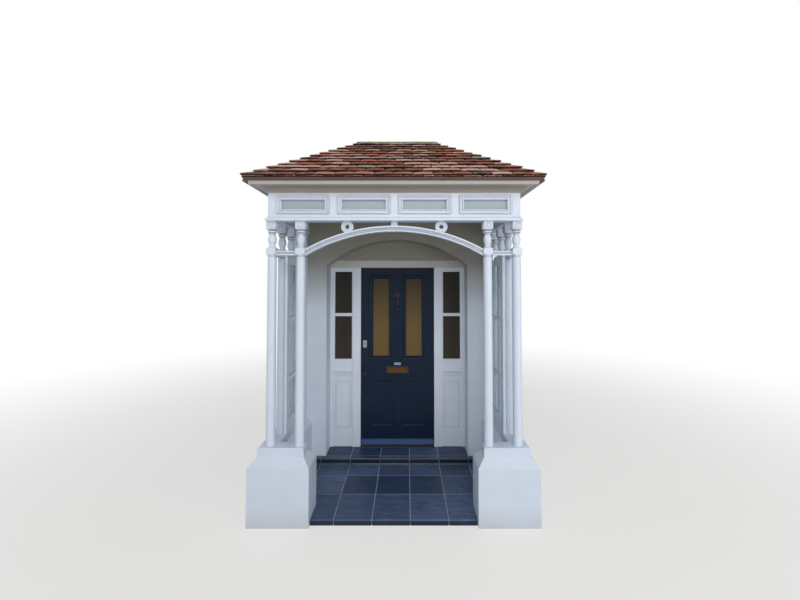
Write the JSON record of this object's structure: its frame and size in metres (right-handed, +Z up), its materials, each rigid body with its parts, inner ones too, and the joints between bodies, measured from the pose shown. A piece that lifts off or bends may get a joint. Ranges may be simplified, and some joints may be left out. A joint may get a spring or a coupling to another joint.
{
  "type": "entrance porch",
  "caption": "Timber entrance porch with turned posts on rendered plinths, arched rib, panelled frieze, hipped tiled roof, glazed side screens and panelled front door.",
  "frame": {"origin": "centre of the footprint at ground level", "axes": "+X right seen from the street, +Y into the house, +Z up"},
  "size_m": [2.396, 1.37, 3.4267],
  "materials": {
    "render": "painted cement render",
    "masonry_paint": "masonry gloss paint",
    "slate": "honed slate tiles",
    "trim_metal": "mill finish",
    "white_paint": "gloss oil paint on softwood",
    "frosted_glass": "obscured glass",
    "clear_glass": "float glass",
    "dark_glass": "reeded dark glass",
    "amber_glass": "amber obscured glass",
    "clay_tile": "weathered plain clay tile",
    "threshold_wood": "oiled hardwood",
    "door_paint": "gloss paint on softwood",
    "bar_paint": "gloss paint on softwood",
    "hinge_steel": "satin steel",
    "brass": "tarnished brass",
    "bronze": "aged bronze",
    "chrome": "polished chrome plate"
  },
  "bodies": {
    "root": {"wall_left": "render", "wall_right": "render", "wall_over": "render", "plinth_left": "render", "plinth_right": "render", "plinth_caps": "masonry_paint", "porch_floor": "slate", "door_step": "slate", "step_trims": "trim_metal", "front_posts_left": "white_paint", "front_posts_right": "white_paint", "side_posts_left": "white_paint", "side_posts_right": "white_paint", "transoms": "white_paint", "brackets": "white_paint", "arch_rib": "white_paint", "arch_discs": "white_paint", "frieze_front": "white_paint", "frieze_sides": "white_paint", "frieze_glass": "frosted_glass", "cornice": "white_paint", "soffit": "white_paint", "fascia": "white_paint", "ceiling": "white_paint", "roof_front": "clay_tile", "roof_left": "clay_tile", "roof_right": "clay_tile", "side_screens": "white_paint", "screen_glass": "clear_glass", "frame_posts": "white_paint", "frame_head": "white_paint", "sidelight_rails": "white_paint", "sidelight_glass": "dark_glass", "threshold": "threshold_wood", "hinges_frame": "hinge_steel"},
    "door": {"door_leaf": "door_paint", "door_glass": "amber_glass", "door_mouldings": "door_paint", "weather_bar": "bar_paint", "hinges_door": "hinge_steel", "letter_plate": "brass", "door_fittings": "bronze", "door_latch": "chrome"},
    "letter_flap": {"letter_flap": "brass"},
    "knocker": {"knocker": "bronze"}
  },
  "joints": [
    {"name": "door_hinge", "type": "hinge", "parent": "root", "child": "door", "pos_m": [0.4185, 0.6293, 1], "axis": [0, 0, -1], "range_deg": [0, 90]},
    {"name": "flap_hinge", "type": "hinge", "parent": "door", "child": "letter_flap", "pos_m": [0, 0.5685, 0.964], "axis": [-1, 0, 0], "range_deg": [0, 80]},
    {"name": "knocker_hinge", "type": "hinge", "parent": "door", "child": "knocker", "pos_m": [0, 0.5602, 1.775], "axis": [-1, 0, 0], "range_deg": [0, 50]}
  ]
}
